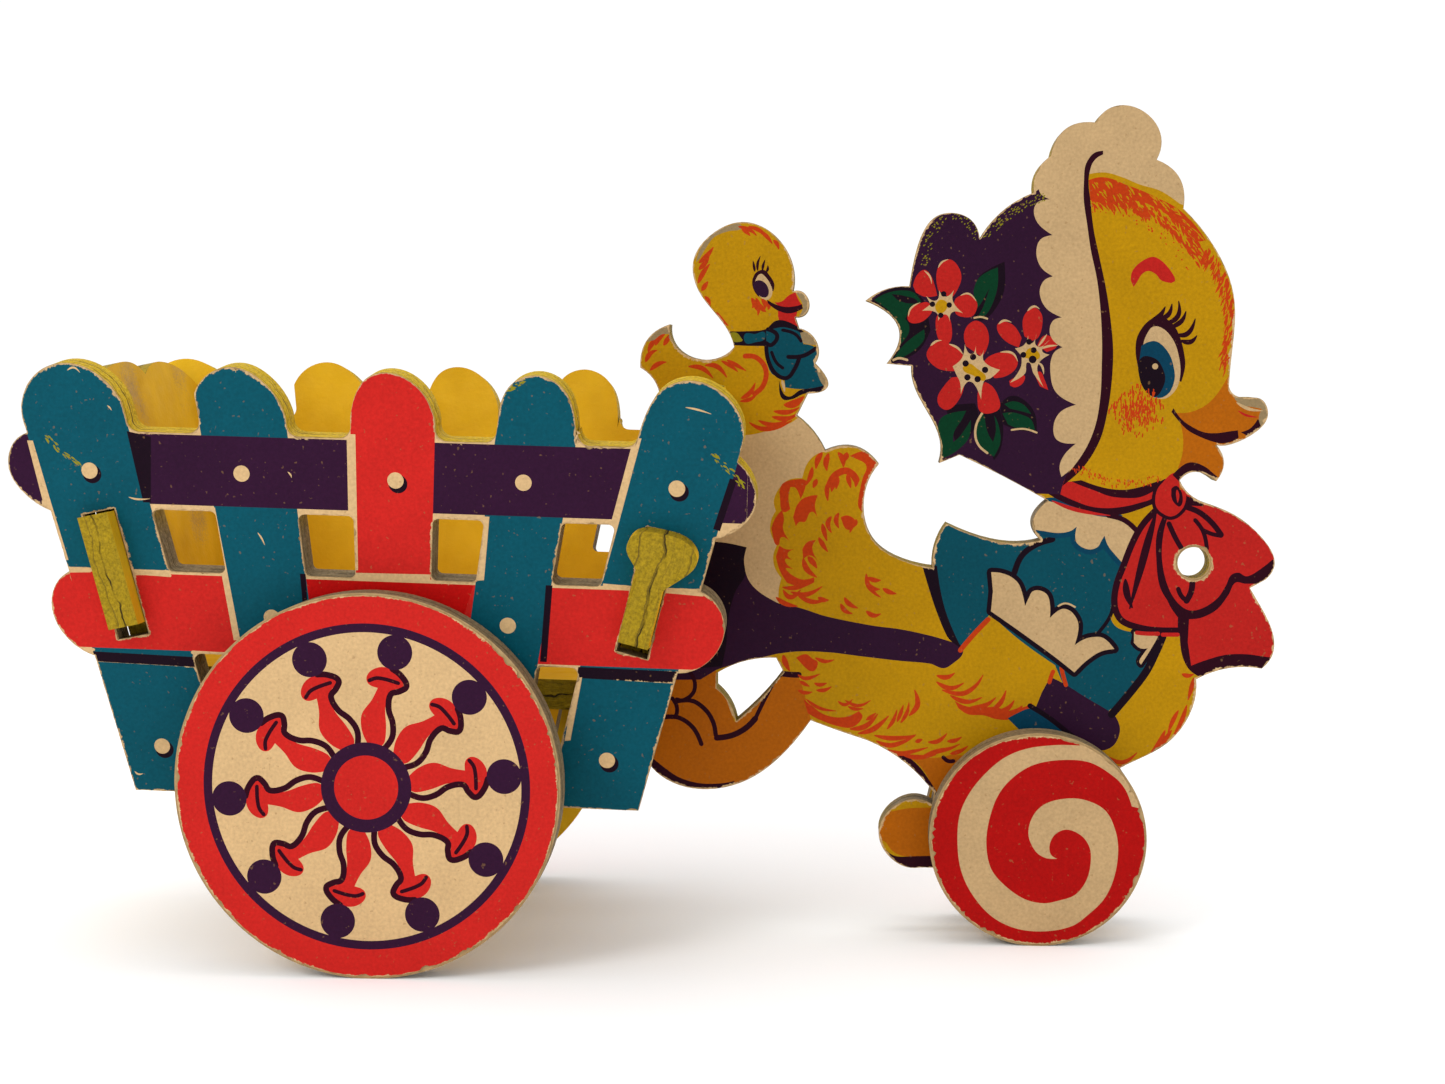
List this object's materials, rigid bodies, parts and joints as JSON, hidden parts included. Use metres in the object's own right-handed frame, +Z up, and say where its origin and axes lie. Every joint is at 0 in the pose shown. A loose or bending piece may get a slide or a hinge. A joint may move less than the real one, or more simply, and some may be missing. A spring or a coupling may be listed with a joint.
{
  "type": "pull along toy",
  "caption": "Die-cut fibreboard duck in a bonnet, walking ahead of a picket-fence cart with a duckling between, rolling on printed disc wheels.",
  "frame": {"origin": "middle of the toy's length and width, on the floor under it", "axes": "+X forward, the way the duck faces; +Y to the toy's left; +Z up"},
  "size_m": [0.2652, 0.0882, 0.1806],
  "materials": {
    "fibreboard": "raw cut edges, matt",
    "fibreboard_sprayed": "thin yellow spray over fibreboard, satin",
    "wheel_board": "raw rim, yellow spray on the back, matt",
    "duck_print": "printed yellow, red, teal and purple, satin",
    "cart_print": "printed teal, purple and red, satin",
    "wheel_print": "printed red, purple and tan, satin",
    "dowel": "turned hardwood dowel, matt"
  },
  "bodies": {
    "toy": {"duck_board": "fibreboard", "duck_print_right": "duck_print", "duck_print_left": "duck_print", "cart_side_right": "fibreboard_sprayed", "cart_side_left": "fibreboard_sprayed", "cart_side_print_right": "cart_print", "cart_side_print_left": "cart_print", "cart_front": "fibreboard_sprayed", "cart_back": "fibreboard_sprayed", "cart_floor": "fibreboard_sprayed"},
    "rear_wheels": {"rear_axle": "dowel", "rear_wheel_right": "wheel_board", "rear_wheel_left": "wheel_board", "rear_wheel_print_right": "wheel_print", "rear_wheel_print_left": "wheel_print"},
    "front_wheels": {"front_axle": "dowel", "front_wheel_right": "wheel_board", "front_wheel_left": "wheel_board", "front_wheel_print_right": "wheel_print", "front_wheel_print_left": "wheel_print"}
  },
  "joints": [
    {"name": "rear_wheels_roll", "type": "hinge", "parent": "toy", "child": "rear_wheels", "pos_m": [-0.058, 0, 0.04], "axis": [0, 1, 0], "continuous": true},
    {"name": "front_wheels_roll", "type": "hinge", "parent": "toy", "child": "front_wheels", "pos_m": [0.0811, 0, 0.0233], "axis": [0, 1, 0], "continuous": true}
  ]
}
